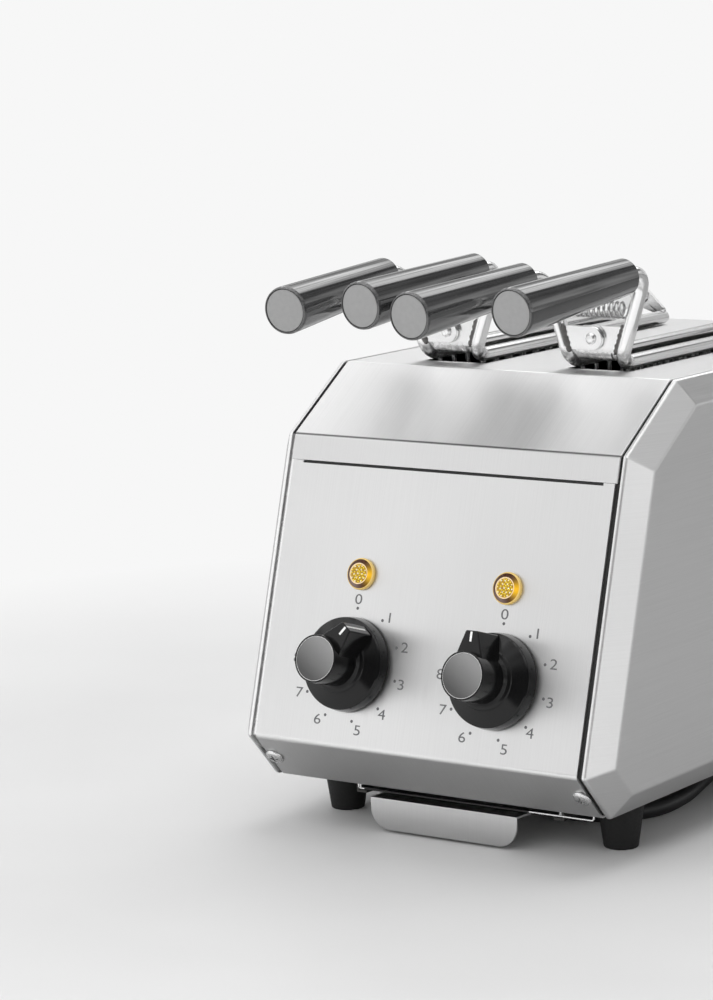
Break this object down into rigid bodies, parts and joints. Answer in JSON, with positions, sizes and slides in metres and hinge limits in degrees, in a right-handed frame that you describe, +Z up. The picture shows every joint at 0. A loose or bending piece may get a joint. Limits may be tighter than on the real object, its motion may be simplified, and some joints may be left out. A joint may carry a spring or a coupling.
{
  "type": "two-slot sandwich toaster",
  "caption": "Stainless countertop toaster with upright slots, lift-out spring sandwich tongs, timer knobs, signal lamps and a pull-out crumb tray.",
  "frame": {"origin": "on the table, under the middle of the object's box without its cord", "axes": "+X to the right seen from the front, +Y to the back, +Z up"},
  "size_m": [0.189, 0.4428, 0.2375],
  "materials": {
    "stainless": "satin, brushed",
    "inner_steel": "dull rolled sheet",
    "chrome_steel": "polished",
    "handle_plastic": "gloss",
    "knob_plastic": "gloss",
    "knob_face": "satin",
    "amber_lens": "clear, textured face",
    "black_plastic": "matte",
    "foot_rubber": "matte",
    "cord_rubber": "satin",
    "pin_brass": "nickel plated",
    "ceramic": "glazed ceramic",
    "quartz": "clear, frosted"
  },
  "bodies": {
    "body": {"base_plate": "inner_steel", "front_panel": "stainless", "top_cover": "stainless", "rear_panel": "stainless", "left_side_panel": "stainless", "right_side_panel": "stainless", "front_bulkhead": "inner_steel", "rear_bulkhead": "inner_steel", "heat_shields": "inner_steel", "quartz_tubes": "quartz", "tube_sockets": "ceramic", "left_slot_guard": "inner_steel", "right_slot_guard": "inner_steel", "left_timer": "inner_steel", "right_timer": "inner_steel", "left_lamp": "amber_lens", "right_lamp": "amber_lens", "lamp_holders": "black_plastic", "terminal_block": "ceramic", "front_left_foot": "foot_rubber", "front_right_foot": "foot_rubber", "rear_left_foot": "foot_rubber", "rear_right_foot": "foot_rubber", "screws": "chrome_steel", "tray_rails": "inner_steel", "cord_gland": "black_plastic", "cord_lead": "cord_rubber", "cord_coil": "cord_rubber", "cord_tail": "cord_rubber", "cord_tie": "black_plastic", "plug_body": "cord_rubber", "plug_pins": "pin_brass"},
    "left_knob": {"left_knob": "knob_plastic", "left_knob_cap": "knob_face", "left_timer_shaft": "inner_steel"},
    "right_knob": {"right_knob": "knob_plastic", "right_knob_cap": "knob_face", "right_timer_shaft": "inner_steel"},
    "tray": {"crumb_tray": "stainless"},
    "left_tong": {"left_tong_right_rod": "chrome_steel", "left_tong_right_grid": "chrome_steel", "left_tong_right_handle": "handle_plastic", "left_tong_hinge_plate": "chrome_steel", "left_tong_rivet": "chrome_steel", "left_tong_spring": "chrome_steel"},
    "left_tong_jaw": {"left_tong_left_rod": "chrome_steel", "left_tong_left_grid": "chrome_steel", "left_tong_left_handle": "handle_plastic", "left_tong_hinge_tab": "chrome_steel"},
    "right_tong": {"right_tong_left_rod": "chrome_steel", "right_tong_left_grid": "chrome_steel", "right_tong_left_handle": "handle_plastic", "right_tong_hinge_tab": "chrome_steel", "right_tong_rivet": "chrome_steel", "right_tong_spring": "chrome_steel"},
    "right_tong_jaw": {"right_tong_right_rod": "chrome_steel", "right_tong_right_grid": "chrome_steel", "right_tong_right_handle": "handle_plastic", "right_tong_hinge_plate": "chrome_steel"}
  },
  "joints": [
    {"name": "left_knob_turn", "type": "hinge", "parent": "body", "child": "left_knob", "pos_m": [-0.0357, -0.13452, 0.07301], "axis": [0, 0.9593, -0.2823], "range_deg": [-38, 232]},
    {"name": "right_knob_turn", "type": "hinge", "parent": "body", "child": "right_knob", "pos_m": [0.0357, -0.13452, 0.07301], "axis": [0, 0.9593, -0.2823], "range_deg": [0, 270]},
    {"name": "tray_slide", "type": "slide", "parent": "body", "child": "tray", "axis": [0, -1, 0], "range_m": [0, 0.2]},
    {"name": "left_tong_lift", "type": "slide", "parent": "body", "child": "left_tong", "axis": [0, 0, 1], "range_m": [0, 0.17]},
    {"name": "right_tong_lift", "type": "slide", "parent": "body", "child": "right_tong", "axis": [0, 0, 1], "range_m": [0, 0.17]},
    {"name": "left_tong_squeeze", "type": "hinge", "parent": "left_tong", "child": "left_tong_jaw", "pos_m": [-0.0357, -0.05417, 0.2025], "axis": [0, 1, 0], "range_deg": [0, 4], "stiffness_Nm_per_rad": 2, "springref_deg": -11.46, "deforming": ["left_tong_spring"]},
    {"name": "right_tong_squeeze", "type": "hinge", "parent": "right_tong", "child": "right_tong_jaw", "pos_m": [0.0357, -0.05417, 0.2025], "axis": [0, -1, 0], "range_deg": [0, 4], "stiffness_Nm_per_rad": 2, "springref_deg": -11.46, "deforming": ["right_tong_spring"]}
  ]
}
